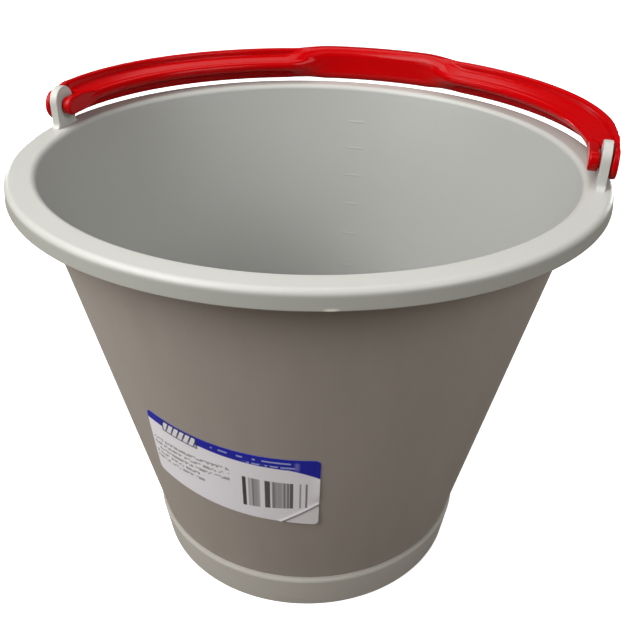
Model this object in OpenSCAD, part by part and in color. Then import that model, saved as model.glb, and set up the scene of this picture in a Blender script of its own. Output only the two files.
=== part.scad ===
// Household bucket of 10 litres: a moulded plastic tub with a flanged rim and two ears,
// a swinging plastic handle whose forked ends snap onto the ears, and a sticker on the wall.
// The origin is the middle of the base, Z is up, and the handle swings about the X direction.

/* [Tub] */
// Height from the floor it stands on to the top of the rim
height = 244; // [200:1:300]
// Outer diameter of the rim
rim_d = 310.6; // [300:0.2:340]
// Thickness of the wall, measured level
wall_t = 2.2; // [1.6:0.1:3.5]
// Thickness of the floor
floor_t = 2.5; // [2:0.1:4]
// Radius of the corner between floor and wall, inside
floor_r = 5; // [2:0.5:10]

/* [Foot] */
// Outer diameter of the foot band where it stands
foot_d = 186.6; // [170:0.2:200]
// How much wider the foot band is at its top
foot_flare = 6; // [2:0.5:10]
// Height of the foot band
foot_h = 25; // [15:1:40]
// How far the top of the foot band stands out from the wall
foot_step = 1.4; // [0.8:0.1:3]
// Thickness of the foot band
foot_t = 3.4; // [2.5:0.1:5]
// Height of the hollow under the floor
recess_h = 4; // [2:0.5:8]
// Diameter of the moulding point in the middle of the underside
gate_d = 5; // [3:0.5:8]

/* [Rim] */
// Width of the rim, from the outside of the wall to the rim's edge
rim_w = 14.3; // [12:0.1:18]
// Thickness of the flat top of the rim
rim_t = 2.4; // [1.8:0.1:3.5]
// Height of the skirt that hangs from the rim
skirt_h = 9; // [7:0.5:14]
// Thickness of the skirt
skirt_t = 2.2; // [1.6:0.1:3]
// How far the skirt leans out at its lower edge
skirt_lean = 0.5; // [0:0.1:1]
// Radius of the inner edge of the rim
lip_r = 3.5; // [2:0.5:5]
// Radius of the outer edge of the rim
edge_r = 3; // [2.2:0.2:4]
// Thickness of the webs under the rim at each ear
web_t = 1.8; // [1.2:0.1:3]
// Distance between those webs
web_gap = 7; // [5:0.5:10]

/* [Ears] */
// Distance from the rim's outer edge to the middle of the ear
ear_inset = 7.1; // [6.5:0.1:8.5]
// Width of the ear
ear_w = 17; // [14:0.5:20]
// Thickness of the ear
ear_t = 4.4; // [4:0.1:6]
// Height of the ear above the rim
ear_h = 22; // [19:0.5:25]
// Height of the pivot above the rim
pivot_h = 11.4; // [10.6:0.1:13]
// Diameter of the hole in the ear
ear_hole_d = 7; // [5:0.5:8]
// Radius at the root of the ear
ear_root_r = 3; // [1:0.5:4]

/* [Handle] */
// Distance from the pivot to the middle of the handle's arc
reach = 153; // [148:1:160]
// How much smaller than the reach the bends between the forks and the arc are
bend_less = 22; // [20:0.5:26]
// Length of the straight arm between the fork's slot and the bend
straight_l = 1.5; // [1:0.5:4]
// Height of the outer strip of the arm
strip_h = 20; // [16:0.5:21]
// Thickness of the outer strip
strip_t = 4; // [3.6:0.1:5]
// Thickness of the inner rib at its root
rib_root = 10.5; // [6:0.5:11]
// Thickness of the inner rib at its rounded tip
rib_tip = 6; // [3:0.2:7]

/* [Grip] */
// Length of the thick part that the hand holds, between its two shoulders
grip_l = 58; // [40:1:90]
// Height of the grip
grip_h = 21.4; // [18:0.2:22]
// How far the grip is set out from the arms
grip_out = 9; // [5:0.5:10]
// Rounding of the grip
grip_r = 6; // [4:0.5:6.5]
// Radius of the two bends in each shoulder of the grip
shoulder_r = 40; // [25:1:50]
// Length of the ramp by which each end of the grip rises out of the arm's rib
ramp_l = 16; // [10:1:18]

/* [Fork] */
// Thickness of the outer cheek
outer_cheek_t = 3.4; // [2.6:0.1:3.5]
// Thickness of the inner cheek
inner_cheek_t = 5.2; // [4.4:0.1:6]
// Radius of the outer cheek round the pivot
cheek_r = 8; // [7:0.5:9.5]
// Radius of the inner cheek round the pivot
inner_cheek_r = 5; // [4.5:0.5:7]
// Free space between the ear and each cheek
side_play = 0.5; // [0.3:0.1:0.8]
// Free space between the ear's top and the end of the fork's slot
slot_play = 1.5; // [1:0.5:3]
// Difference between the diameters of the hole and the peg
peg_play = 0.16; // [0.08:0.02:0.2]
// Gap between the ends of the two pegs in one ear
peg_gap = 0.8; // [0.4:0.1:1.5]
// Bevel on the end of each peg
peg_bevel = 0.6; // [0.3:0.1:1]
// Height of the resting grip above the level of the rim
rest_gap = 0.3; // [0.2:0.1:1]

/* [Sticker] */
// Length of the sticker round the wall
sticker_l = 95.5; // [60:0.5:120]
// Height of the sticker along the wall
sticker_h = 52.5; // [30:0.5:60]
// Thickness of the sticker
sticker_t = 0.25; // [0.15:0.05:0.4]
// Thickness of the glue between the sticker and the wall
glue_t = 0.1; // [0.05:0.05:0.3]
// Height of its lower right corner above the floor it stands on
sticker_z = 80; // [50:1:120]
// Direction of its right edge, turned from the X axis
sticker_turn = -70.3; // [-90:0.1:-50]
// Rounding of its corners
sticker_r = 3; // [1:0.5:6]

/* [Hidden] */
$fn = 96;
eps = 0.01;

// Radii and heights of the tub's profile
rim_r = rim_d / 2;
neck_r = rim_r - rim_w;
foot_r = foot_d / 2;
foot_top_r = foot_r + foot_flare / 2;
heel_r = foot_top_r - foot_step;
skirt_z = height - skirt_h;
floor_z = recess_h + floor_t;
wall_slope = (neck_r - heel_r) / (skirt_z - foot_h);
wall_lean = atan(wall_slope);
foot_slope = (foot_top_r - foot_r) / foot_h;
foot_in_slope = (heel_r - wall_t - foot_r - foot_slope * floor_z + foot_t) / (foot_h - floor_z);
small_r = 1.2;
hollow_r = 1.5;
tip_r = 0.8;
gate_h = 0.8;

// The pivot and the handle's own plan, with the pivot axis through its origin
ear_x = rim_r - ear_inset;
pivot_z = height + pivot_h;
fork_gap = ear_t + 2 * side_play;
slot_y = ear_h - pivot_h + slot_play;
peg_d = ear_hole_d - peg_play;
// The arm is as deep as the fork with its two cheeks
arm_in = -fork_gap / 2 - inner_cheek_t;
arm_out = fork_gap / 2 + outer_cheek_t;
arm_w = arm_out - arm_in;
rib_x = arm_in + rib_tip / 2;
strip_x = arm_out - strip_t / 2;
bend_r = reach - bend_less;
bend_x = ear_x - bend_r;
bend_y = slot_y + straight_l;
// The middle arc touches the bends: its radius follows from their place and the reach
mid_d = reach - bend_y;
mid_r = (bend_x * bend_x + mid_d * mid_d - bend_r * bend_r) / (2 * (mid_d - bend_r));
mid_y = reach - mid_r;
bend_a = atan2(bend_y - mid_y, bend_x);
// Ends of the grip and of the arm, and the centres of the two bends between them
grip_a = 90 - grip_l / 2 / (mid_r + grip_out) * 180 / PI;
out_d = mid_r + shoulder_r;
in_d = mid_r + grip_out - shoulder_r;
shoulder_a = acos((out_d * out_d + in_d * in_d - pow(2 * shoulder_r, 2)) / (2 * out_d * in_d));
out_turn = acos((out_d * out_d + pow(2 * shoulder_r, 2) - in_d * in_d) / (4 * out_d * shoulder_r));
in_turn = out_turn + shoulder_a;
arm_a = grip_a - shoulder_a;
// How far the lengths of the handle run into each other, and by how much every second is thinner
lap = 0.5;
lap_a = lap / mid_r * 180 / PI;
hair = 0.03;
// Tilt at which the grip comes down to the rim
rest_drop = asin((pivot_h - grip_h / 2 - rest_gap) / (reach + grip_out + arm_in + grip_r));
// Length over which the inner cheek narrows into the rib
fork_taper = 14;
// How far the webs' lower edges lie above the skirt's lower edge
web_rise = 2;
// How far the pegs run into the cheeks
peg_root = 1;

// Outer radius of the wall, and the tub's inner radius behind the foot band, at height z
function wall_r(z) = heel_r + wall_slope * (z - foot_h);
function foot_in(z) = heel_r - wall_t - foot_in_slope * (foot_h - z);

// Points of a round corner with its centre at [x, y], from angle a to angle b
function round_at(x, y, r, a, b, n = 8) =
    [for (i = [0:n]) [x + r * cos(a + (b - a) * i / n), y + r * sin(a + (b - a) * i / n)]];

// Points between a and b, both left out
function between(a, b, n) = [for (i = [1:n - 1]) a + (b - a) * i / n];

// Closed outline of the tub's wall, from the middle of the underside round to the floor
function tub_outline() =
    let (roof = height - rim_t,
         skirt_in = rim_r - skirt_t,
         lip_z = height - lip_r,
         lip_x = wall_r(lip_z) - wall_t + lip_r / cos(wall_lean),
         foot_lean = atan(foot_in_slope),
         corner_z = floor_z + floor_r)
    concat(
        [[0, recess_h], [foot_r - foot_t, recess_h]],
        round_at(foot_r - foot_t + small_r, small_r, small_r, 180, 270, 4),
        round_at(foot_r - small_r, small_r, small_r, 270, 360, 4),
        round_at(foot_top_r - small_r, foot_h - small_r, small_r, 0, 90, 4),
        [[wall_r(foot_h), foot_h]],
        round_at(wall_r(roof - hollow_r) + hollow_r, roof - hollow_r, hollow_r, 180, 90, 4),
        round_at(skirt_in - hollow_r, roof - hollow_r, hollow_r, 90, 0, 4),
        round_at(skirt_in + skirt_lean + tip_r, skirt_z + tip_r, tip_r, 180, 270, 4),
        round_at(rim_r + skirt_lean - tip_r, skirt_z + tip_r, tip_r, 270, 360, 4),
        round_at(rim_r - edge_r, height - edge_r, edge_r, 0, 90),
        round_at(lip_x, lip_z, lip_r, 90, 180 - wall_lean),
        [[wall_r(foot_h) - wall_t, foot_h]],
        round_at(foot_in(corner_z) - floor_r / cos(foot_lean), corner_z, floor_r,
                 -foot_lean, -90),
        [[0, floor_z]]);

// A part on each side of the bucket, the left one mirrored
module both_sides() {
    children();
    mirror([1, 0, 0]) children();
}

// Turns a flat outline drawn in Y and Z into a plate that is w thick along X
module plate(x, w) {
    translate([x, 0, 0]) rotate([90, 0, 90]) linear_extrude(w) children();
}

// The ear's head is round and its hole sits a little below the middle of the head
module ear_outline() {
    head_z = ear_h - ear_w / 2;
    translate([0, head_z]) circle(d = ear_w);
    translate([-ear_w / 2, -rim_t / 2]) square([ear_w, head_z + rim_t / 2]);
    for (s = [-1, 1]) scale([s, 1])
        difference() {
            translate([ear_w / 2 - eps, -rim_t / 2]) square([ear_root_r, ear_root_r + rim_t / 2]);
            translate([ear_w / 2 + ear_root_r, ear_root_r]) circle(r = ear_root_r);
        }
}

module ear() {
    translate([0, 0, height]) plate(ear_x - ear_t / 2, ear_t)
        difference() {
            ear_outline();
            translate([0, pivot_h]) circle(d = ear_hole_d);
        }
}

// Webs in the hollow of the rim that carry the load of one ear
module ear_webs() {
    inner_x = wall_r(skirt_z + web_rise) - wall_t / 2;
    outer_x = rim_r - skirt_t / 2;
    for (i = [-1:1])
        translate([inner_x, i * web_gap - web_t / 2, skirt_z + web_rise])
            cube([outer_x - inner_x, web_t, skirt_h - web_rise - rim_t / 2]);
}

module tub() {
    color([0.72, 0.72, 0.69]) {
        rotate_extrude() polygon(tub_outline());
        both_sides() {
            ear();
            ear_webs();
        }
        translate([0, 0, recess_h - gate_h]) cylinder(d = gate_d, h = gate_h + floor_t / 2);
    }
}

// Section of the arm: x is the distance outwards from the arm's path. Along the handle every
// second length is a hair thinner, by i all round, and runs into the thicker ones beside it.
module arm_section(i = 0) {
    strip_end = strip_h / 2 - strip_t / 2;
    translate([strip_x - strip_t / 2 + i, -strip_end]) square([strip_t - 2 * i, 2 * strip_end]);
    for (s = [-1, 1]) translate([strip_x, s * strip_end]) circle(d = strip_t - 2 * i);
    polygon([[strip_x, rib_root / 2 - i], [rib_x, rib_tip / 2 - i],
             [rib_x, -rib_tip / 2 + i], [strip_x, -rib_root / 2 + i]]);
    translate([rib_x, 0]) circle(d = rib_tip - 2 * i);
}

module grip_section(i = 0) {
    h = grip_h / 2 - grip_r;
    translate([arm_in + i, -h]) square([arm_w - 2 * i, 2 * h]);
    translate([arm_in + grip_r, -grip_h / 2 + i])
        square([arm_w - 2 * grip_r, grip_h - 2 * i]);
    for (x = [arm_in + grip_r, arm_out - grip_r], y = [-h, h])
        translate([x, y]) circle(r = grip_r - i);
}

// Sweeps a section along the middle arc from angle a to angle b, off outside the arm's path
module along_middle(a, b, off = 0) {
    translate([0, mid_y, 0]) rotate([0, 0, a]) rotate_extrude(angle = b - a)
        translate([mid_r + off, 0]) children();
}

module arm() {
    translate([ear_x, bend_y + lap, 0]) rotate([90, 0, 0])
        linear_extrude(straight_l + lap) arm_section(hair);
    translate([bend_x, bend_y, 0]) rotate_extrude(angle = bend_a) translate([bend_r, 0])
        arm_section();
    along_middle(bend_a - lap_a, arm_a + lap_a) arm_section(hair);
}

// Sweeps a section along the outward bend that starts at the end of the arm, and by more
// degrees past both of its ends
module along_out_bend(more = 0) {
    translate([out_d * cos(arm_a), mid_y + out_d * sin(arm_a), 0])
        rotate([0, 0, arm_a + 180 - out_turn - more]) rotate_extrude(angle = out_turn + 2 * more)
            translate([shoulder_r, 0]) mirror([1, 0]) children();
}

// What is cut off the grip's ends inside the strip, so that they rise out of the rib by a ramp
module ramp_cut() {
    rise = (grip_h - rib_root) / 2;
    over = 1;
    intersection() {
        along_out_bend(3) translate([arm_in - over, -grip_h])
            square([arm_w - strip_t + over, 2 * grip_h]);
        translate([0, mid_y, 0]) rotate([0, 0, arm_a]) for (s = [0, 1]) mirror([0, 0, s])
            plate(mid_r + 2 * arm_in, 3 * arm_w)
                polygon([[-over, rib_root / 2 - over * rise / ramp_l], [-over, grip_h],
                         [ramp_l + over, grip_h], [ramp_l + over, grip_h / 2 + over * rise / ramp_l]]);
    }
}

// The grip's shoulder: a bend outwards and a bend back carry the grip outside the arm
module shoulder() {
    difference() {
        along_out_bend() grip_section();
        ramp_cut();
    }
    lap_b = lap / shoulder_r * 180 / PI;
    translate([in_d * cos(grip_a), mid_y + in_d * sin(grip_a), 0])
        rotate([0, 0, grip_a - in_turn - lap_b]) rotate_extrude(angle = in_turn + 2 * lap_b)
            translate([shoulder_r, 0]) grip_section(hair);
}

// The outer cheek is round at the pivot and widens to the full strip at the slot's end
module outer_cheek_outline() {
    circle(r = cheek_r);
    polygon([[0, cheek_r], [slot_y, strip_h / 2 - strip_t / 4], [bend_y, strip_h / 2 - strip_t / 4],
             [bend_y, strip_t / 4 - strip_h / 2], [slot_y, strip_t / 4 - strip_h / 2],
             [0, -cheek_r]]);
}

module inner_cheek_outline() {
    circle(r = inner_cheek_r);
    end_y = slot_y + fork_taper;
    polygon([[0, inner_cheek_r], [slot_y, inner_cheek_r], [end_y, rib_tip / 2],
             [end_y, -rib_tip / 2], [slot_y, -inner_cheek_r], [0, -inner_cheek_r]]);
}

// A peg on the cheek at side s of the ear, with a bevelled end
module peg(s) {
    l = peg_root + fork_gap / 2 - peg_gap / 2;
    translate([ear_x + s * (fork_gap / 2 + peg_root), 0, 0]) rotate([0, -s * 90, 0]) {
        cylinder(d = peg_d, h = l - peg_bevel);
        translate([0, 0, l - peg_bevel])
            cylinder(d1 = peg_d, d2 = peg_d - 2 * peg_bevel, h = peg_bevel);
    }
}

module fork() {
    difference() {
        union() {
            plate(ear_x, arm_out) outer_cheek_outline();
            plate(ear_x + arm_in, strip_x - arm_in) inner_cheek_outline();
        }
        translate([ear_x - fork_gap / 2, -cheek_r - 1, -cheek_r - 2])
            cube([fork_gap, cheek_r + 1 + slot_y, 2 * cheek_r + 4]);
    }
    peg(1);
    peg(-1);
}

module handle() {
    color([0.75, 0.02, 0.06])
    translate([0, 0, pivot_z]) rotate([-rest_drop, 0, 0]) {
        both_sides() {
            fork();
            arm();
            shoulder();
        }
        along_middle(grip_a, 180 - grip_a, grip_out) grip_section();
    }
}

// The sticker is a flat rectangle wrapped on the cone of the wall, its right edge upright.
// A point of the flat sheet, laid on the cone and seen square to the wall at that edge
function laid(p) =
    let (lean = wall_lean,
         apex = wall_r(sticker_z) / sin(lean),
         far = norm([p[0], apex + p[1]]),
         turned = atan2(p[0], apex + p[1]) / sin(lean))
    [far * sin(lean) * sin(turned),
     (far - apex) * pow(cos(lean), 2) + (far * cos(turned) - apex) * pow(sin(lean), 2)];

module sticker_outline() {
    r = sticker_r;
    flat = concat(
        round_at(-r, r, r, -90, 0, 4),
        round_at(-r, sticker_h - r, r, 0, 90, 4),
        between([-r, sticker_h], [r - sticker_l, sticker_h], 10),
        round_at(r - sticker_l, sticker_h - r, r, 90, 180, 4),
        round_at(r - sticker_l, r, r, 180, 270, 4),
        between([r - sticker_l, 0], [-r, 0], 10));
    polygon([for (p = flat) laid(p)]);
}

module sticker() {
    z0 = sticker_z - 30;
    z1 = sticker_z + sticker_h + 30;
    color([0.92, 0.92, 0.95])
    intersection() {
        rotate_extrude() translate([glue_t, 0])
            polygon([[wall_r(z0), z0], [wall_r(z0) + sticker_t, z0],
                     [wall_r(z1) + sticker_t, z1], [wall_r(z1), z1]]);
        rotate([0, 0, sticker_turn]) translate([wall_r(sticker_z), 0, sticker_z])
            rotate([0, wall_lean, 0]) rotate([0, 90, 0]) rotate([0, 0, 90])
                translate([0, 0, -neck_r]) linear_extrude(neck_r + 5) sticker_outline();
    }
}

tub();
handle();
sticker();
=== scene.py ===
import math
import bmesh
import bpy
from mathutils import Matrix, Vector


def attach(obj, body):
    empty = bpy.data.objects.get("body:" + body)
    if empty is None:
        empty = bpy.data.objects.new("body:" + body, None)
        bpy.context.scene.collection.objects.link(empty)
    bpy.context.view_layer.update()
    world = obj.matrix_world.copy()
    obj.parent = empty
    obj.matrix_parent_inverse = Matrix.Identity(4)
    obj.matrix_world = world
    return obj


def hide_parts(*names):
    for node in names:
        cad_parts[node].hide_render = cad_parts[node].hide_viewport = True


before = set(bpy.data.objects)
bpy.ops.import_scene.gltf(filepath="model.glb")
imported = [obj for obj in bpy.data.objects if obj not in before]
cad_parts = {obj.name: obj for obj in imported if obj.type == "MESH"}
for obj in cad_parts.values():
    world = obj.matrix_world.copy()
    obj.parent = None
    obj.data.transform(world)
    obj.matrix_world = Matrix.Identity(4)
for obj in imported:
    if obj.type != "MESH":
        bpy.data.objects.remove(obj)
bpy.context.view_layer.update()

MM = 0.001
# Faces that meet at a larger angle than this keep a sharp edge.
SHARP = math.radians(38.0)

# Sizes of the tub in millimetres, the same as in the part's source.
HEIGHT = 244.0
WALL_T = 2.2
FLOOR_T = 2.5
FLOOR_R = 5.0
FOOT_R = 93.3
FOOT_FLARE = 3.0
FOOT_H = 25.0
FOOT_STEP = 1.4
FOOT_T = 3.4
RECESS_H = 4.0
GATE_R = 2.5
GATE_H = 0.8
RIM_R = 155.3
RIM_W = 14.3
RIM_T = 2.4
SKIRT_H = 9.0
SKIRT_T = 2.2
SKIRT_LEAN = 0.5
LIP_R = 3.5
EDGE_R = 3.0
WEB_T = 1.8
WEB_GAP = 7.0
WEB_RISE = 2.0
# Roundings: of small edges, of the corners in the rim's hollow and of thin edges.
SMALL_R = 1.2
HOLLOW_R = 1.5
TIP_R = 0.8

# What follows from them.
NECK_R = RIM_R - RIM_W
FOOT_TOP_R = FOOT_R + FOOT_FLARE
HEEL_R = FOOT_TOP_R - FOOT_STEP
FLOOR_Z = RECESS_H + FLOOR_T
SKIRT_Z = HEIGHT - SKIRT_H
SLOPE = (NECK_R - HEEL_R) / (SKIRT_Z - FOOT_H)
LEAN = math.atan(SLOPE)

# The ears and the handle's pivot.
EAR_INSET = 7.1
EAR_X = RIM_R - EAR_INSET
EAR_W = 17.0
EAR_T = 4.4
EAR_H = 22.0
EAR_HOLE_R = 3.5
EAR_ROOT_R = 3.0
PIVOT_H = 11.4

# The handle, in its own plan: the pivot axis runs through the origin along X.
REACH = 153.0
BEND_LESS = 22.0
STRAIGHT_L = 1.5
STRIP_H = 20.0
STRIP_T = 4.0
RIB_ROOT = 10.5
RIB_TIP = 6.0
GRIP_L = 58.0
GRIP_H = 21.4
GRIP_OUT = 9.0
GRIP_R = 6.0
SHOULDER_R = 40.0
RAMP_L = 27.0
OUTER_CHEEK_T = 3.4
INNER_CHEEK_T = 5.2
CHEEK_R = 8.0
INNER_CHEEK_R = 5.0
SIDE_PLAY = 0.5
SLOT_PLAY = 1.5
FORK_TAPER = 14.0
PEG_PLAY = 0.08
PEG_ROOT = 0.5
PEG_GAP = 0.8
REST_GAP = 0.3

# What follows from them: the arm is as deep as the fork with its two cheeks.
FORK_GAP = EAR_T + 2 * SIDE_PLAY
ARM_IN = -FORK_GAP / 2 - INNER_CHEEK_T
ARM_OUT = FORK_GAP / 2 + OUTER_CHEEK_T
PEG_R = EAR_HOLE_R - PEG_PLAY
SLOT_Y = EAR_H - PIVOT_H + SLOT_PLAY
BEND_R = REACH - BEND_LESS
BEND_X = EAR_X - BEND_R
BEND_Y = SLOT_Y + STRAIGHT_L
# The middle arc touches the bends, so its radius follows from their place and the reach.
MID_D = REACH - BEND_Y
MID_R = (BEND_X ** 2 + MID_D ** 2 - BEND_R ** 2) / (2 * (MID_D - BEND_R))
MID_Y = REACH - MID_R
# The tilt at which the grip comes down to the rim.
REST_RISE = PIVOT_H - GRIP_H / 2 - REST_GAP
REST_DROP = math.asin(REST_RISE / (REACH + GRIP_OUT + ARM_IN + GRIP_R))

# The sticker, a flat rectangle wrapped on the cone of the wall.
STICKER_L = 95.5
STICKER_H = 52.5
STICKER_T = 0.25
GLUE_T = 0.1
STICKER_Z = 80.0
STICKER_TURN = -70.3
STICKER_R = 3.0
# Its crease, from the lower edge to the right edge, as places to the left and up.
CREASE = ((18.6, 0.5), (0.3, 17.0))


def wall_r(z):
    """Outer radius of the cone of the wall at height z."""
    return HEEL_R + SLOPE * (z - FOOT_H)


def arc(x, y, r, start, end, steps):
    """Points of a round corner, angles in degrees."""
    turns = [math.radians(start + (end - start) * i / steps) for i in range(steps + 1)]
    return [(x + r * math.cos(t), y + r * math.sin(t)) for t in turns]


def beyond_crease(s, t):
    """How far a point of the sticker lies beyond its crease, towards the lower right corner."""
    (s0, t0), (s1, t1) = CREASE
    aside = (s0 - s) * (t1 - t0) - (t0 - t) * (s1 - s0)
    return aside / math.hypot(s1 - s0, t1 - t0)


class Field:
    """A node's output that can be reckoned with: fields and numbers mix freely."""

    def __init__(self, graph, socket):
        self.graph = graph
        self.socket = socket

    def math(self, operation, *values):
        return self.graph.node("ShaderNodeMath", {"operation": operation}, dict(enumerate(values)))

    def __add__(self, other):
        return self.math("ADD", self, other)

    def __radd__(self, other):
        return self.math("ADD", other, self)

    def __sub__(self, other):
        return self.math("SUBTRACT", self, other)

    def __rsub__(self, other):
        return self.math("SUBTRACT", other, self)

    def __mul__(self, other):
        return self.math("MULTIPLY", self, other)

    def __rmul__(self, other):
        return self.math("MULTIPLY", other, self)

    def __truediv__(self, other):
        return self.math("DIVIDE", self, other)

    def __mod__(self, other):
        return self.math("FLOORED_MODULO", self, other)

    def __pow__(self, other):
        return self.math("POWER", self, other)

    def __gt__(self, other):
        return self.math("GREATER_THAN", self, other)

    def __lt__(self, other):
        return self.math("LESS_THAN", self, other)

    def __abs__(self):
        return self.math("ABSOLUTE", self)

    def floor(self):
        return self.math("FLOOR", self)

    def over(self, low, high):
        """0 below low, 1 above high, and a straight ramp between."""
        return self.graph.node("ShaderNodeMapRange", {"clamp": True},
                               {"Value": self, "From Min": low, "From Max": high})

    def between(self, low, high, soft):
        """1 from low to high, fading out over soft on both sides."""
        return self.over(low - soft, low + soft) * (1 - self.over(high - soft, high + soft))


class Graph:
    """A tree of nodes."""

    def __init__(self, tree):
        self.tree = tree

    def node(self, kind, settings=None, sockets=None, out=0):
        """Makes a node: its settings first, then the values or links of its sockets."""
        made = self.tree.nodes.new(kind)
        for key, value in (settings or {}).items():
            setattr(made, key, value)
        for key, value in (sockets or {}).items():
            socket = made.inputs[key]
            if isinstance(value, Field):
                self.tree.links.new(value.socket, socket)
            elif socket.type == "RGBA":
                socket.default_value = (*value, 1.0)
            else:
                socket.default_value = value
        return made if out is None else Field(self, made.outputs[out])


class Paint(Graph):
    """One material."""

    def __init__(self, name):
        self.material = bpy.data.materials.new(name)
        self.material.use_nodes = True
        super().__init__(self.material.node_tree)
        self.tree.nodes.clear()

    def place(self, kind="Object"):
        """Where the point is: as a vector in metres, and as its parts in millimetres."""
        here = self.node("ShaderNodeTexCoord", out=kind)
        split = self.node("ShaderNodeSeparateXYZ", {}, {"Vector": here}, out=None)
        return here, [Field(self, part) / MM for part in split.outputs]

    def stretched(self, vector, scale):
        """A vector scaled along each axis, which draws a pattern out along one of them."""
        return self.node("ShaderNodeMapping", {}, {"Vector": vector, "Scale": scale})

    def noise(self, vector, scale, detail, rough=0.55):
        """A soft uneven pattern."""
        return self.node("ShaderNodeTexNoise", {}, {"Vector": vector, "Scale": scale,
                                                    "Detail": detail, "Roughness": rough})

    def blend(self, share, first, second):
        """A colour between two, by a field."""
        return self.node("ShaderNodeMix", {"data_type": "RGBA"}, {0: share, 6: first, 7: second},
                         out=2)

    def relief(self, height, strength, distance, under=None):
        """The normal of a fine relief, laid over another relief where one is given."""
        sockets = {"Height": height, "Strength": strength, "Distance": distance}
        if under is not None:
            sockets["Normal"] = under
        return self.node("ShaderNodeBump", {}, sockets)

    def finish(self, **sockets):
        """The last nodes: the surface and the material's output."""
        shader = self.node("ShaderNodeBsdfPrincipled", {},
                           {key.replace("_", " "): value for key, value in sockets.items()})
        self.node("ShaderNodeOutputMaterial", {}, {"Surface": shader}, out=None)
        return self.material


class Rule(Graph):
    """A Geometry Nodes group with named inputs, which turns a plain mesh into a finished one."""

    def __init__(self, name, **wanted):
        super().__init__(bpy.data.node_groups.new(name, "GeometryNodeTree"))
        sides = self.tree.interface
        sides.new_socket("Geometry", in_out="OUTPUT", socket_type="NodeSocketGeometry")
        sides.new_socket("Geometry", in_out="INPUT", socket_type="NodeSocketGeometry")
        for title, kind in wanted.items():
            sides.new_socket(title, in_out="INPUT", socket_type="NodeSocket" + kind)
        self.given = self.node("NodeGroupInput", out=None)

    def __getitem__(self, title):
        return Field(self, self.given.outputs[title])

    def finish(self, geometry):
        """The last nodes: real meshes and their material."""
        real = self.node("GeometryNodeRealizeInstances", {}, {"Geometry": geometry})
        painted = self.node("GeometryNodeSetMaterial", {},
                            {"Geometry": real, "Material": self["Material"]})
        self.node("NodeGroupOutput", {}, {"Geometry": painted}, out=None)

    def grow(self, name, base, **values):
        """The finished mesh that the group makes of a plain one."""
        seed = bpy.data.objects.new(name, base)
        bpy.context.scene.collection.objects.link(seed)
        modifier = seed.modifiers.new(name, "NODES")
        modifier.node_group = self.tree
        for item in self.tree.interface.items_tree:
            if item.in_out == "INPUT" and item.name in values:
                modifier[item.identifier] = values[item.name]
        mesh = evaluated(seed)
        mesh.name = name
        bpy.data.objects.remove(seed)
        return mesh


def grey_moulding():
    """Light grey plastic, smooth on rim, ears and foot, with a fine grain on the wall; light and
    shade are painted into its colour part by part.
    """
    paint = Paint("grey_moulding")
    here, (x, y, z) = paint.place()
    # Masks of the tub's parts, from a point's radius, its height and its place across the wall.
    radius = (x * x + y * y) ** 0.5
    cone = radius - z * SLOPE
    face = HEEL_R - FOOT_H * SLOPE
    outer = cone.over(face - 1.2, face - 0.8)
    outside = outer * (1 - cone.over(face + 1.5, face + 2.0))
    wall = outside * z.between(FOOT_H - 0.6, HEIGHT - 3.0, 0.5)
    inside = (1 - cone.over(face - 1.4, face - 1.0)) * z.over(FLOOR_Z - 0.5, FLOOR_Z + 0.5)
    inside = inside * (1 - z.over(HEIGHT - 2.5, HEIGHT - 1.0))
    foot = outer * (1 - z.over(FOOT_H - 1.5, FOOT_H - 0.5))
    brim = radius.over(RIM_R - 2.8, RIM_R - 1.3)
    skirt = brim * (1 - z.over(HEIGHT - 3.5, HEIGHT - 1.5))
    groove_shade = outside * z.between(FOOT_H - 0.7, FOOT_H + 1.0, 0.5)
    low = 1 - z.over(0.0, 10.0)
    # Uneven plastic: broad clouds, upright streaks, a fine grain and scuffs round the foot.
    cloud = paint.noise(here, scale=9.0, detail=3.0)
    upright = paint.stretched(here, (60.0, 60.0, 3.0))
    streak = paint.noise(upright, scale=1.0, detail=3.0)
    grain = paint.noise(here, scale=1400.0, detail=2.0)
    level = paint.stretched(here, (30.0, 30.0, 160.0))
    scuff = paint.noise(level, scale=1.0, detail=5.0).over(0.60, 0.74)
    # The grey of the rim's top, and painted lit and shaded copies of it: lighter on the foot
    # (painted light from the floor), darker on the inside and the skirt (painted shade), darker
    # and warmer on the wall (painted shade, with real streaks).
    plain = paint.blend(cloud, (0.459, 0.458, 0.425), (0.507, 0.505, 0.470))
    pale = paint.blend(cloud, (0.481, 0.465, 0.422), (0.531, 0.513, 0.466))
    inner = paint.blend(cloud, (0.362, 0.366, 0.344), (0.400, 0.403, 0.382))
    streaked_wall_shade = paint.blend(streak, (0.333, 0.300, 0.265), (0.383, 0.345, 0.307))
    skirt_shade = paint.blend(cloud, (0.342, 0.342, 0.308), (0.378, 0.378, 0.341))
    # Painted light and shade: each part of the tub gets its own lit or shaded grey.
    colour = paint.blend(foot, plain, pale)
    colour = paint.blend(skirt, colour, skirt_shade)
    colour = paint.blend(wall, colour, streaked_wall_shade)
    colour = paint.blend(inside, colour, inner)
    colour = paint.blend(scuff * low * 0.5, colour, (0.42, 0.39, 0.35))
    # Painted shade in the groove where the wall meets the foot.
    colour = paint.blend(groove_shade * 0.35, colour, (0.20, 0.18, 0.155))
    # A pale spot painted on the skirt's lower edge, in front.
    pale_spot = x.between(49.9, 54.3, 1.2) * (1 - z.over(SKIRT_Z + 1.0, SKIRT_Z + 1.9))
    colour = paint.blend(pale_spot * brim * (y < 0) * 0.85, colour, (0.78, 0.75, 0.68))
    rough = 0.36 + 0.10 * cloud + 0.18 * wall
    bump = paint.relief(grain, strength=0.25, distance=0.06 * MM)
    bump = paint.relief(streak * wall, strength=0.2, distance=0.25 * MM, under=bump)
    return paint.finish(Base_Color=colour, Roughness=rough, Normal=bump, IOR=1.49)


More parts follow.
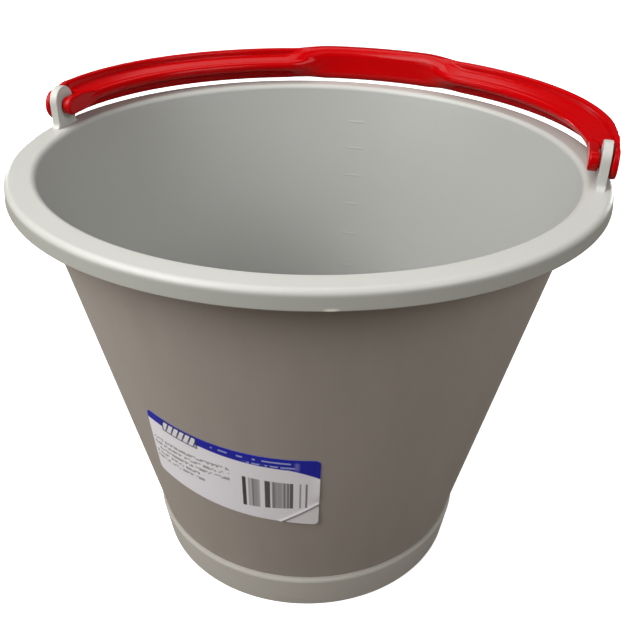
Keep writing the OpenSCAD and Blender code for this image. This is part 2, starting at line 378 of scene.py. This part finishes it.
def red_moulding():
    """Glossy red plastic of the handle, with flow marks, a parting line and fine wear."""
    paint = Paint("red_moulding")
    here, (_, y, z) = paint.place()
    cloud = paint.noise(here, scale=25.0, detail=3.0)
    worn = paint.noise(here, scale=220.0, detail=6.0, rough=0.7).over(0.66, 0.84)
    flow = paint.noise(here, scale=60.0, detail=2.0)
    colour = paint.blend(cloud, (0.41, 0.0003, 0.001), (0.48, 0.0006, 0.002))
    rough = 0.13 + 0.08 * cloud + 0.15 * worn
    # The parting line lies in the handle's middle plane, which is tilted a little at rest.
    middle = z - (HEIGHT + PIVOT_H) + y * math.sin(REST_DROP)
    seam = 1 - abs(middle).over(0.05, 0.25)
    bump = paint.relief(flow, strength=0.12, distance=0.5 * MM)
    bump = paint.relief(seam, strength=0.4, distance=0.1 * MM, under=bump)
    return paint.finish(Base_Color=colour, Roughness=rough, Normal=bump, IOR=1.50,
                        Specular_IOR_Level=0.12)


def cell_chance(paint, across, up):
    """A number from 0 to 1, the same all over each cell of a grid."""
    cell = paint.node("ShaderNodeCombineXYZ", {}, {0: across.floor(), 1: up.floor()})
    return paint.node("ShaderNodeTexWhiteNoise", {"noise_dimensions": "2D"}, {"Vector": cell})


def strokes(paint, u, v, size, low, high, start, end):
    """One broken row of strokes, from low to high along v and from start to end along u."""
    soft = 0.15
    row = v.between(low, high, soft) * u.between(start, end, soft)
    return (cell_chance(paint, u / size, v / size / 3) > 0.3) * row


def print_rows(paint, u, v):
    """The block of small grey print, whose rows rise to the right."""
    row_h, cell_w, left_end, soft = 4.2, 1.3, 94.0, 0.2
    climb = v - 0.10 * (left_end - u)
    in_row = (climb / row_h) % 1.0
    chance = cell_chance(paint, u / cell_w, climb / (row_h / 2))
    block = climb.between(13.0, 33.0, soft) * u.between(46.0, left_end, soft)
    # The lower rows are shorter.
    short = climb.over(20.0, 21.0) + u.over(60.0, 62.0)
    return in_row.between(0.22, 0.72, 0.08) * (chance > 0.35) * block * short.over(0.4, 0.6)


def print_bars(paint, u, v):
    """The block of upright bars: solid ones, and fine ones that run together into grey."""
    fine_w = 0.9
    fine = paint.node("ShaderNodeTexWhiteNoise", {"noise_dimensions": "1D"},
                      {"W": (u / fine_w).floor()})
    bars = (0.35 + 0.45 * fine) * u.between(30.0, 36.2, 0.2)
    bars = bars + (0.45 + 0.40 * fine) * u.between(15.0, 24.0, 0.2)
    for middle, half, ink in ((38.3, 1.0, 0.97), (26.2, 1.4, 0.92), (14.0, 0.85, 0.88),
                              (9.6, 0.45, 0.60), (6.5, 0.5, 0.75)):
        bars = bars + ink * u.between(middle - half, middle + half, 0.15)
    # The bars stand on a line that rises to the right, and all end at one height.
    foot = 8.7 + 0.142 * (40.4 - u)
    return bars * (v - foot).over(-0.1, 0.1) * (1 - v.over(33.6, 34.0))


def printed_film():
    """White sticker with a blue band, grey lines of print and a block of bars."""
    paint = Paint("printed_film")
    # u runs to the left from the sticker's right edge, and v up from its lower edge.
    here, (u, v, _) = paint.place("UV")
    ink = paint.noise(here, scale=90.0, detail=3.0)
    white = paint.blend(ink, (0.90, 0.885, 0.94), (0.93, 0.92, 0.96))
    blue = paint.blend(ink, (0.001, 0.003, 0.34), (0.004, 0.016, 0.48))
    # The band's lower edge sinks towards the sticker's right edge.
    sag = 2.6 * (1 - u.over(0.0, 60.0)) + 5.4 * (1 - u.over(0.0, 16.0)) ** 1.5
    band = (v + sag).over(46.1, 46.7)
    colour = paint.blend(band, white, blue)
    colour = paint.blend(print_rows(paint, u, v) * 0.7, colour, (0.16, 0.16, 0.17))
    colour = paint.blend(print_bars(paint, u, v), colour, (0.035, 0.03, 0.035))
    # Light strokes on the band: a heading with a dark edge, two rows of small ones and a smear.
    plate = v.between(43.3, 52.0, 0.3) * u.between(63.0, 85.2, 0.3)
    slant = ((u + 0.35 * v) / 3.5) % 1.0
    head = v.between(44.2, 51.2, 0.3) * u.between(64.0, 84.2, 0.3)
    colour = paint.blend(plate * 0.85, colour, (0.01, 0.008, 0.06))
    colour = paint.blend(head * slant.between(0.22, 0.95, 0.06), colour, (0.84, 0.84, 0.90))
    small = strokes(paint, u, v, size=1.6, low=49.0, high=50.2, start=13.4, end=55.4)
    small = small + strokes(paint, u, v, size=1.3, low=45.7, high=46.9, start=12.4, end=38.7)
    colour = paint.blend(small * 0.75, colour, (0.50, 0.56, 0.88))
    smear = v.between(44.5, 50.5, 0.8) * u.between(10.3, 12.4, 0.7)
    colour = paint.blend(smear * 0.35, colour, (0.45, 0.45, 0.85))
    # The creased corner: painted shade along the fold, and greyer film beyond it.
    beyond = beyond_crease(u, v)
    colour = paint.blend(beyond.over(0.2, 0.8) * 0.6, colour, (0.66, 0.64, 0.64))
    fold_shade = beyond.between(-0.2, 1.1, 0.3)
    colour = paint.blend(fold_shade * 0.75, colour, (0.14, 0.13, 0.14))
    rough = 0.34 + 0.12 * ink
    bump = paint.relief(ink, strength=0.1, distance=0.05 * MM)
    return paint.finish(Base_Color=colour, Roughness=rough, Normal=bump, IOR=1.45)


def evaluated(thing):
    """The plain mesh that an object's modifiers lead to."""
    depsgraph = bpy.context.evaluated_depsgraph_get()
    return bpy.data.meshes.new_from_object(thing.evaluated_get(depsgraph), depsgraph=depsgraph)


def plain_mesh(name, vertices, faces):
    """A mesh from points in millimetres."""
    mesh = bpy.data.meshes.new(name)
    mesh.from_pydata([tuple(c * MM for c in v) for v in vertices], [], faces)
    return mesh


def joined(name, meshes):
    """Several meshes as one."""
    work = bmesh.new()
    for mesh in meshes:
        work.from_mesh(mesh)
    whole = bpy.data.meshes.new(name)
    work.to_mesh(whole)
    work.free()
    return whole


def both_sides(name, mesh):
    """A mesh and its mirror image on the bucket's other side."""
    other = mesh.copy()
    other.transform(Matrix.Scale(-1, 4, Vector((1, 0, 0))))
    other.flip_normals()
    return joined(name, [mesh, other])


def add_piece(name, mesh, material, body, stands_for=None):
    """Puts a mesh on the bucket, its flat faces kept flat and its bends smooth."""
    mesh.name = name
    mesh.materials.clear()
    mesh.materials.append(material)
    mesh.shade_smooth()
    mesh.set_sharp_from_angle(angle=SHARP)
    piece = bpy.data.objects.new(name, mesh)
    bpy.context.scene.collection.objects.link(piece)
    even = piece.modifiers.new("even", "WEIGHTED_NORMAL")
    even.keep_sharp = True
    piece.data = evaluated(piece)
    piece.modifiers.clear()
    piece.data.name = name
    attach(piece, body)
    if stands_for:
        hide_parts(stands_for)
    return piece


def lathe_rule():
    """Turns an outline of points round the Z axis."""
    rule = Rule("turned_outline", Turns="Int", Material="Material")
    outline = rule["Geometry"]
    turns = rule["Turns"]
    count = rule.node("GeometryNodeAttributeDomainSize", {}, {"Geometry": outline},
                      out="Point Count")
    # A grid of unit squares: along X a point for each point of the outline, along Y the turns.
    grid = rule.node("GeometryNodeMeshGrid", {}, {"Size X": count - 1, "Size Y": turns,
                                                  "Vertices X": count, "Vertices Y": turns + 1})
    where = rule.node("GeometryNodeInputPosition")
    split = rule.node("ShaderNodeSeparateXYZ", {}, {"Vector": where}, out=None)
    index = (Field(rule, split.outputs[0]) + (count - 1) / 2 + 0.5).floor()
    angle = (Field(rule, split.outputs[1]) / turns + 0.5) * math.tau
    point = rule.node("GeometryNodeSampleIndex", {"data_type": "FLOAT_VECTOR"},
                      {"Geometry": outline, "Value": where, "Index": index})
    spun = rule.node("ShaderNodeVectorRotate", {"rotation_type": "Z_AXIS"},
                     {"Vector": point, "Angle": angle})
    placed = rule.node("GeometryNodeSetPosition", {}, {"Geometry": grid, "Position": spun})
    closed = rule.node("GeometryNodeMergeByDistance", {}, {"Geometry": placed, "Distance": 1e-6})
    # The grid's faces look inward once it is turned, so they are flipped.
    rule.finish(rule.node("GeometryNodeFlipFaces", {}, {"Mesh": closed}))
    return rule


LATHE = lathe_rule()
GREY = grey_moulding()
RED = red_moulding()
FILM = printed_film()


def lathe(name, outline, turns, material):
    """A closed body of revolution from an outline that starts and ends on the axis."""
    base = plain_mesh(name, [(x, 0, z) for x, z in outline], [])
    return LATHE.grow(name, base, Turns=turns, Material=material)


def tub_outline():
    """The tub's section, from the middle of the underside round to the middle of the floor."""
    roof = HEIGHT - RIM_T
    skirt_in = RIM_R - SKIRT_T
    lip_z = HEIGHT - LIP_R
    lip_x = wall_r(lip_z) - WALL_T + LIP_R / math.cos(LEAN)
    wall_turn = 180 - math.degrees(LEAN)
    # The foot band's inside leans from the floor's corner to the inside of the wall.
    foot_slope = FOOT_FLARE / FOOT_H
    in_slope = (HEEL_R - WALL_T - FOOT_R - foot_slope * FLOOR_Z + FOOT_T) / (FOOT_H - FLOOR_Z)
    in_lean = math.atan(in_slope)
    corner_z = FLOOR_Z + FLOOR_R
    corner_x = HEEL_R - WALL_T - in_slope * (FOOT_H - corner_z) - FLOOR_R / math.cos(in_lean)
    # Roundings of the gate's edge, of the foot band's top and of the groove above it.
    gate_edge = 0.3
    foot_top_h = 3.5
    groove_r = 0.5
    # Rows of points that keep the long faces from becoming too long.
    flat_rows = (20, 60)
    wall_rows = (27, 50, 80, 110, 140, 170, 200, 225)

    under = [(0, RECESS_H - GATE_H)]
    under += arc(GATE_R - gate_edge, RECESS_H - GATE_H + gate_edge, gate_edge, 270, 360, 4)
    under += [(GATE_R, RECESS_H)] + [(x, RECESS_H) for x in flat_rows]
    foot = arc(FOOT_R - FOOT_T - TIP_R, RECESS_H - TIP_R, TIP_R, 90, 0, 4)
    foot += arc(FOOT_R - FOOT_T + SMALL_R, SMALL_R, SMALL_R, 180, 270, 6)
    foot += arc(FOOT_R - SMALL_R, SMALL_R, SMALL_R, 270, 353, 6)
    foot += [(HEEL_R + FOOT_STEP * x, FOOT_H - foot_top_h * (1 - z))
             for x, z in arc(0, 0, 1, -3, 74, 10)]
    wall = arc(wall_r(FOOT_H) + groove_r + 0.1, FOOT_H + 0.35, groove_r, 245, 192, 5)
    wall += [(wall_r(z), z) for z in wall_rows]
    rim = arc(wall_r(roof - HOLLOW_R) + HOLLOW_R, roof - HOLLOW_R, HOLLOW_R, wall_turn, 90, 6)
    rim += arc(skirt_in - HOLLOW_R, roof - HOLLOW_R, HOLLOW_R, 90, 0, 6)
    rim += arc(skirt_in + SKIRT_LEAN + TIP_R, SKIRT_Z + TIP_R, TIP_R, 180, 270, 5)
    rim += arc(RIM_R + SKIRT_LEAN - TIP_R, SKIRT_Z + TIP_R, TIP_R, 270, 360, 5)
    rim += arc(RIM_R - EDGE_R, HEIGHT - EDGE_R, EDGE_R, 3, 90, 14)
    rim += arc(lip_x, lip_z, LIP_R, 90, wall_turn, 14)
    inner = [(wall_r(z) - WALL_T, z) for z in reversed(wall_rows)]
    floor = arc(corner_x, corner_z, FLOOR_R, -math.degrees(in_lean), -90, 10)
    floor += [(x, FLOOR_Z) for x in reversed(flat_rows)] + [(0, FLOOR_Z)]
    return under + foot + wall + rim + inner + floor


def moulded_plate(outline, x0, x1, soft, hole_r=0.0, centre=(0.0, 0.0)):
    """A plate between x0 and x1 from an outline in Y and Z, with softened edges."""
    work = bmesh.new()
    rim = [work.verts.new((x0 * MM, y * MM, z * MM)) for y, z in outline]
    if hole_r:
        hole = [work.verts.new((x0 * MM, y * MM, z * MM))
                for y, z in arc(centre[0], centre[1], hole_r, 0, 360, 48)[:-1]]
        edges = [work.edges.new((ring[i - 1], ring[i])) for ring in (rim, hole)
                 for i in range(len(ring))]
        filled = bmesh.ops.triangle_fill(work, use_beauty=True, edges=edges)["geom"]
        faces = [f for f in filled if isinstance(f, bmesh.types.BMFace)]
    else:
        faces = [work.faces.new(rim)]
    grown = bmesh.ops.extrude_face_region(work, geom=faces)["geom"]
    moved = [v for v in grown if isinstance(v, bmesh.types.BMVert)]
    bmesh.ops.translate(work, vec=((x1 - x0) * MM, 0, 0), verts=moved)
    bmesh.ops.recalc_face_normals(work, faces=work.faces)
    work.normal_update()
    # Only the corners are softened, not the joints between the short faces of a curve.
    corner = math.radians(60)
    edges = [e for e in work.edges if e.calc_face_angle(0.0) > corner]
    bmesh.ops.bevel(work, geom=edges, offset=soft * MM, segments=4, profile=0.5, affect="EDGES",
                    clamp_overlap=True)
    mesh = bpy.data.meshes.new("plate")
    work.to_mesh(mesh)
    work.free()
    return mesh


def ear_outline():
    """The ear's outline in Y and Z above the rim: round head, straight sides, flared root."""
    half = EAR_W / 2
    head = arc(0, EAR_H - half, half, 0, 180, 48)
    left = [(-half, EAR_H - half - 4), (-half, EAR_ROOT_R + 1)]
    left += arc(-half - EAR_ROOT_R, EAR_ROOT_R, EAR_ROOT_R, 0, -90, 8)
    right = [(-y, z) for y, z in reversed(left)]
    foot = [(y, -RIM_T / 2) for y in (-half - EAR_ROOT_R, -half, -2, 2, half, half + EAR_ROOT_R)]
    return head[:-1] + [(-half, EAR_H - half)] + left + foot + right


def ears_and_webs():
    """The two ears with their holes, and the webs that carry them under the rim."""
    ear = moulded_plate(ear_outline(), EAR_X - EAR_T / 2, EAR_X + EAR_T / 2, soft=0.5,
                        hole_r=EAR_HOLE_R, centre=(0.0, PIVOT_H))
    ear.transform(Matrix.Translation((0, 0, HEIGHT * MM)))
    # The webs end inside the wall and the skirt, and short of the rim's rounded inner edge.
    low, top = SKIRT_Z + WEB_RISE, HEIGHT - RIM_T / 2
    inner_x = wall_r(low) - 0.2
    outer_x = RIM_R - SKIRT_T / 2
    half = WEB_T / 2
    web = [(-half, low), (half, low), (half, top), (-half, top)]
    webs = [moulded_plate([(y + i * WEB_GAP, z) for y, z in web], inner_x, outer_x, soft=0.3)
            for i in (-1, 0, 1)]
    return both_sides("tub_ears", joined("one_side", [ear] + webs))


def bow_section(share):
    """Half a section of the bow, from outside over the top to inside: 0 is the arm, 1 the grip."""
    round_r = STRIP_T / 2
    h = STRIP_H / 2
    x_in = ARM_OUT - STRIP_T
    fillet = SMALL_R
    rib_x = ARM_IN + RIB_TIP / 2

    def line(a, b, steps):
        return [(a[0] + (b[0] - a[0]) * i / steps, a[1] + (b[1] - a[1]) * i / steps)
                for i in range(steps)]

    arm = line((ARM_OUT, 0), (ARM_OUT, h - round_r), 4)
    arm += arc(ARM_OUT - round_r, h - round_r, round_r, 0, 180, 12)[:-1]
    arm += line((x_in, h - round_r), (x_in, RIB_ROOT / 2 + fillet), 4)
    arm += arc(x_in - fillet, RIB_ROOT / 2 + fillet, fillet, 0, -84, 5)[:-1]
    # The rib's flank runs down to just above its rounded tip.
    arm += line((x_in - fillet, RIB_ROOT / 2), (rib_x + 0.4, RIB_TIP / 2 + 0.05), 5)
    arm += arc(rib_x, 0, RIB_TIP / 2, 80, 180, 10)
    top = GRIP_H / 2
    grip = line((ARM_OUT, 0), (ARM_OUT, top - GRIP_R), 4)
    grip += arc(ARM_OUT - GRIP_R, top - GRIP_R, GRIP_R, 0, 90, 12)[:-1]
    grip += line((ARM_OUT - GRIP_R, top), (ARM_IN + GRIP_R, top), 4)
    grip += arc(ARM_IN + GRIP_R, top - GRIP_R, GRIP_R, 90, 180, 10)[:-1]
    grip += line((ARM_IN, top - GRIP_R), (ARM_IN, 0), 10) + [(ARM_IN, 0)]
    upper = [(a[0] + (g[0] - a[0]) * share, a[1] + (g[1] - a[1]) * share)
             for a, g in zip(arm, grip)]
    return upper + [(x, -z) for x, z in reversed(upper[1:-1])]


def bow_path():
    """Points, outward directions and shares of grip from the right fork to the middle."""
    bend_a = math.degrees(math.atan2(BEND_Y - MID_Y, BEND_X))
    grip_a = 90 - math.degrees(GRIP_L / 2 / (MID_R + GRIP_OUT))
    out_d = MID_R + SHOULDER_R
    in_d = MID_R + GRIP_OUT - SHOULDER_R
    span = 2 * SHOULDER_R
    shoulder_a = math.degrees(math.acos((out_d ** 2 + in_d ** 2 - span ** 2) / (2 * out_d * in_d)))
    out_turn = math.degrees(math.acos((out_d ** 2 + span ** 2 - in_d ** 2) / (2 * out_d * span)))
    in_turn = out_turn + shoulder_a
    arm_a = grip_a - shoulder_a

    def round_path(centre, radius, start, end, steps, side=1, shares=(0, 0)):
        """One bend, about a centre inside the bow, or outside it where side is -1."""
        for i in range(steps):
            turn = math.radians(start + (end - start) * i / steps)
            c, s = math.cos(turn), math.sin(turn)
            share = min(1.0, shares[0] + (shares[1] - shares[0]) * i / steps)
            share = share * share * (3 - 2 * share)
            yield (centre[0] + radius * c, centre[1] + radius * s, side * c, side * s, share)

    def polar(distance, angle):
        turn = math.radians(angle)
        return (distance * math.cos(turn), MID_Y + distance * math.sin(turn))

    path = [(EAR_X, SLOT_Y, 1, 0, 0.0)]
    path += round_path((BEND_X, BEND_Y), BEND_R, 0, bend_a, steps=44)
    path += round_path((0, MID_Y), MID_R, bend_a, arm_a, steps=40)
    risen = SHOULDER_R * math.radians(out_turn) / RAMP_L
    path += round_path(polar(out_d, arm_a), SHOULDER_R, arm_a + 180, arm_a + 180 - out_turn,
                       steps=20, side=-1, shares=(0, risen))
    path += round_path(polar(in_d, grip_a), SHOULDER_R, grip_a - in_turn, grip_a,
                       steps=20, shares=(risen, 2 * risen))
    path += round_path((0, MID_Y), MID_R + GRIP_OUT, grip_a, 90, steps=14, shares=(1, 1))
    return path


def laid_down(mesh):
    """Tilts a mesh in the handle's plan to where the handle rests, and lifts it to the pivot."""
    mesh.transform(Matrix.Translation((0, 0, (HEIGHT + PIVOT_H) * MM)) @
                   Matrix.Rotation(-REST_DROP, 4, "X"))
    return mesh


def handle_bow():
    """The bow swept from fork to fork: two ribbed arms, two shoulders and the grip."""
    half = bow_path()
    middle = [(0, REACH + GRIP_OUT, 0, 1, 1.0)]
    path = half + middle + [(-x, y, -nx, ny, share) for x, y, nx, ny, share in reversed(half)]
    vertices = []
    for x, y, nx, ny, share in path:
        vertices += [(x + nx * out, y + ny * out, up) for out, up in bow_section(share)]
    ring = len(vertices) // len(path)
    faces = [tuple(range(ring)), tuple(reversed(range(len(vertices) - ring, len(vertices))))]
    for i in range(len(path) - 1):
        for j in range(ring):
            a, b = i * ring + j, i * ring + (j + 1) % ring
            faces.append((a, a + ring, b + ring, b))
    return laid_down(plain_mesh("bow", vertices, faces))


def fork_cheeks():
    """The outer and inner cheeks that straddle each ear."""
    # The outer cheek lies a hair below the strip's faces, into which it runs.
    hair = 0.04
    strip_end = STRIP_H / 2 - 0.1
    end_y = BEND_Y + 1
    outer = arc(0, 0, CHEEK_R, 90, 270, 32)
    outer += [(SLOT_Y, -strip_end), (end_y, -strip_end), (end_y, strip_end), (SLOT_Y, strip_end)]
    taper_y = SLOT_Y + FORK_TAPER
    inner = arc(0, 0, INNER_CHEEK_R, 90, 270, 28)
    inner += [(SLOT_Y, -INNER_CHEEK_R), (taper_y, -RIB_TIP / 2), (taper_y, RIB_TIP / 2),
              (SLOT_Y, INNER_CHEEK_R)]
    plates = [moulded_plate(outer, EAR_X + FORK_GAP / 2, EAR_X + ARM_OUT - hair, SMALL_R),
              moulded_plate(inner, EAR_X + ARM_IN, EAR_X - FORK_GAP / 2, SMALL_R)]
    return laid_down(both_sides("cheeks", joined("one_side", plates)))


def snap_pegs():
    """The four short pegs that sit in the holes of the ears."""
    length = PEG_ROOT + FORK_GAP / 2 - PEG_GAP / 2
    end_r = 0.6
    outline = [(0, 0), (PEG_R, 0)] + arc(PEG_R - end_r, length - end_r, end_r, 0, 90, 5)
    outline += [(0, length)]
    pegs = []
    for side in (-1, 1):
        peg = lathe("peg", outline, 48, RED)
        peg.transform(Matrix.Rotation(-side * math.pi / 2, 4, "Y"))
        root_x = EAR_X + side * (FORK_GAP / 2 + PEG_ROOT)
        peg.transform(Matrix.Translation((root_x * MM, 0, 0)))
        pegs.append(peg)
    return laid_down(both_sides("pegs", joined("one_side", pegs)))


def on_wall(s, t, lift):
    """The point of the sticker s to the left of its right edge and t up, in millimetres."""
    base = wall_r(STICKER_Z) / math.sin(LEAN)
    along = math.hypot(s, base + t)
    turn = math.radians(STICKER_TURN) - math.atan2(s, base + t) / math.sin(LEAN)
    r = along * math.sin(LEAN) + lift * math.cos(LEAN)
    z = STICKER_Z + (along - base) * math.cos(LEAN) - lift * math.sin(LEAN)
    return (r * math.cos(turn), r * math.sin(turn), z)


def sticker_mesh():
    """The sticker with rounded corners, its own thickness, and a creased and lifted corner."""
    across, up = 120, 66

    def rounded(s, t):
        """Draws the points of a square corner in to a round one."""
        ds = max(0.0, STICKER_R - min(s, STICKER_L - s))
        dt = max(0.0, STICKER_R - min(t, STICKER_H - t))
        if ds > 0 and dt > 0:
            draw = 1 - max(ds, dt) / math.hypot(ds, dt)
            s += ds * draw * (1 if s < STICKER_L / 2 else -1)
            t += dt * draw * (1 if t < STICKER_H / 2 else -1)
        return s, t

    def raised(s, t):
        """How far the film stands off the wall: at its crease, its corner and its right edge."""
        ridge_h, ridge_w, corner_rise = 0.45, 0.7, 0.08
        edge_h, edge_w, edge_middle, edge_half = 0.5, 2.5, 29, 9
        over = beyond_crease(s, t)
        ridge = ridge_h * math.exp(-(over / ridge_w) ** 2)
        corner = corner_rise * max(0.0, over)
        edge = edge_h * math.exp(-(s / edge_w) ** 2 - ((t - edge_middle) / edge_half) ** 4)
        return ridge + corner + edge

    vertices, uvs = [], []
    for lift in (GLUE_T + STICKER_T, GLUE_T):
        for j in range(up + 1):
            for i in range(across + 1):
                s, t = rounded(STICKER_L * i / across, STICKER_H * j / up)
                vertices.append(on_wall(s, t, lift + raised(s, t)))
                uvs.append((s * MM, t * MM))
    wide = across + 1
    layer = wide * (up + 1)
    faces = []
    for j in range(up):
        for i in range(across):
            a = j * wide + i
            faces.append((a, a + wide, a + wide + 1, a + 1))
            faces.append((layer + a, layer + a + 1, layer + a + wide + 1, layer + a + wide))
    edge = list(range(wide)) + [j * wide + across for j in range(1, up + 1)]
    edge += [up * wide + i for i in range(across - 1, -1, -1)]
    edge += [j * wide for j in range(up - 1, 0, -1)]
    for a, b in zip(edge, edge[1:] + edge[:1]):
        faces.append((a, b, layer + b, layer + a))
    mesh = plain_mesh("sticker", vertices, faces)
    flat = mesh.uv_layers.new(name="flat")
    for loop in mesh.loops:
        flat.data[loop.index].uv = uvs[loop.vertex_index]
    return mesh


def litre_marks():
    """Faint raised marks up the inside of the far wall, one for each litre."""
    rule = Rule("litre_marks", Count="Int", Material="Material")
    line = rule.node("GeometryNodeMeshLine", {}, {"Count": rule["Count"]})
    index = rule.node("GeometryNodeInputIndex")
    litre = 0.001
    held = (index + 1) * litre
    floor_r = (wall_r(FLOOR_Z) - WALL_T) * MM
    # How deep so many litres stand in the cone. The marks lie that far above the ground.
    rise = ((held * (3 * SLOPE / math.pi) + floor_r ** 3) ** (1 / 3) - floor_r) / SLOPE
    out = floor_r + (rise - FLOOR_Z * MM) * SLOPE
    place = rule.node("ShaderNodeCombineXYZ", {}, {1: out, 2: rise})
    placed = rule.node("GeometryNodeSetPosition", {}, {"Geometry": line, "Position": place})
    tilt = rule.node("FunctionNodeEulerToRotation", {}, {"Euler": (-LEAN, 0.0, 0.0)})
    marks = rule.node("GeometryNodeInstanceOnPoints", {},
                      {"Points": placed, "Instance": rule["Geometry"], "Rotation": tilt})
    rule.finish(marks)
    # One mark's section, with sloped sides: it stands proud of the wall and is rooted in it.
    proud, root = -0.16, 0.3
    half_l = 7.7
    bar = [(proud, -0.7), (proud, 0.5), (root, 1.4), (root, -1.3)]
    base = moulded_plate(bar, -half_l, half_l, soft=0.1)
    mesh = rule.grow("litre_marks", base, Count=9, Material=GREY)
    mesh.transform(Matrix.Rotation(math.radians(3.0), 4, "Z"))
    return mesh


shell = lathe("tub_shell", tub_outline(), 320, GREY)
add_piece("tub_shell", shell, GREY, "tub", "tub")
add_piece("tub_ears", ears_and_webs(), GREY, "tub")
add_piece("litre_marks", litre_marks(), GREY, "tub")
add_piece("handle_bow", handle_bow(), RED, "handle", "handle")
add_piece("fork_cheeks", fork_cheeks(), RED, "handle")
add_piece("snap_pegs", snap_pegs(), RED, "handle")
add_piece("sticker_film", sticker_mesh(), FILM, "tub", "sticker")


def floor_paint():
    """White where the camera sees it, but for the shadow; dim and warm in the light it returns."""
    paint = Paint("studio_floor")
    rays = paint.node("ShaderNodeLightPath", out=None)
    seen = Field(paint, rays.outputs["Is Camera Ray"])
    dim = paint.node("ShaderNodeBsdfDiffuse", {}, {"Color": (0.16, 0.130, 0.105)})
    pale = paint.node("ShaderNodeBsdfDiffuse", {}, {"Color": (0.80, 0.80, 0.80)})
    x, y = paint.place()[1][:2]
    far = ((x * x + y * y) ** 0.5).over(300.0, 1200.0)
    white = paint.blend(far, (0.72, 0.72, 0.72), (1.0, 1.0, 1.0))
    glow = paint.node("ShaderNodeEmission", {}, {"Color": white, "Strength": 1.0})
    bright = paint.node("ShaderNodeAddShader", {}, {0: pale, 1: glow})
    mixed = paint.node("ShaderNodeMixShader", {}, {0: seen, 1: dim, 2: bright})
    paint.node("ShaderNodeOutputMaterial", {}, {"Surface": mixed}, out=None)
    return paint.material


STUDIO_R = 4000
corners = [(STUDIO_R * x, STUDIO_R * y, 0) for x, y in ((-1, -1), (1, -1), (1, 1), (-1, 1))]
ground = plain_mesh("floor", corners, [(0, 1, 2, 3)])
ground.materials.append(floor_paint())
floor = bpy.data.objects.new("studio_floor", ground)
bpy.context.scene.collection.objects.link(floor)

# The air round the bucket: plain white for the camera, softer for the light it gives.
world = bpy.data.worlds.new("studio_air")
world.use_nodes = True
world.node_tree.nodes.clear()
bpy.context.scene.world = world
air = Graph(world.node_tree)
rays = air.node("ShaderNodeLightPath", out=None)
around = air.node("ShaderNodeBackground", {}, {"Color": (0.95, 0.98, 1.0), "Strength": 0.04})
behind = air.node("ShaderNodeBackground", {}, {"Color": (1.0, 1.0, 1.0)})
chosen = air.node("ShaderNodeMixShader", {},
                  {0: Field(air, rays.outputs["Is Camera Ray"]), 1: around, 2: behind})
air.node("ShaderNodeOutputWorld", {}, {"Surface": chosen}, out=None)


# The camera's place and turns, worked out from the ellipses of the rim and the foot in the photo.
VIEW_TURN = math.radians(16.5)
VIEW_UP = math.radians(18.667)


def lamp(name, turn, rise, power, size=0.9, away=1.5):
    """A soft square lamp, degrees to the right of the camera and up, that looks at the tub."""
    data = bpy.data.lights.new(name, "AREA")
    data.size = size
    data.energy = power
    side, up = VIEW_TURN + math.radians(turn - 90), math.radians(rise)
    flat = Vector((math.cos(side), math.sin(side), 0)) * math.cos(up)
    beam = (flat + Vector((0, 0, math.sin(up)))) * away
    made = bpy.data.objects.new(name, data)
    bpy.context.scene.collection.objects.link(made)
    made.location = beam + Vector((0, 0, 0.2))
    made.rotation_euler = (-beam).to_track_quat("-Z", "Y").to_euler()


lamp("left_front", -55, 40, 18.8)
lamp("left_low", -70, 5, 4.0)
lamp("left_top", -90, 55, 11.2)
lamp("front_top", -10, 65, 2.2)
lamp("behind", 180, 60, 4.0)
lamp("right_front", 55, 35, 11.0)
lamp("back_left", -150, -3, 9.0, 0.3)
lamp("back_right", 140, -3, 9.0, 0.3)

PAN, TILT, ROLL = (math.radians(v) for v in (0.791, -11.955, 0.6875))
AWAY = 0.4332
FOCAL_LENGTH = 44.64
SENSOR_W = 36.0


def turned(first, second, angle):
    """Two directions at a right angle, turned by an angle from the first towards the second."""
    c, s = math.cos(angle), math.sin(angle)
    return first * c + second * s, second * c - first * s


stand = Vector((0, -AWAY * math.cos(VIEW_UP), AWAY * math.sin(VIEW_UP)))
ahead = -stand.normalized()
right = Vector((1, 0, 0))
up = right.cross(ahead)
ahead, up = turned(ahead, up, TILT)
ahead, right = turned(ahead, right, PAN)
right, up = turned(right, up, ROLL)
axes = Matrix((right, up, -ahead)).transposed().to_4x4()
lens = bpy.data.cameras.new("eye")
lens.sensor_width = SENSOR_W
lens.lens = FOCAL_LENGTH
lens.clip_start = 0.01
lens.clip_end = 20.0
eye = bpy.data.objects.new("eye", lens)
bpy.context.scene.collection.objects.link(eye)
eye.matrix_world = (Matrix.Translation((0, 0, HEIGHT * MM)) @ Matrix.Rotation(VIEW_TURN, 4, "Z") @
                    Matrix.Translation(stand) @ axes)
bpy.context.scene.camera = eye
bpy.context.scene.view_settings.view_transform = "Standard"
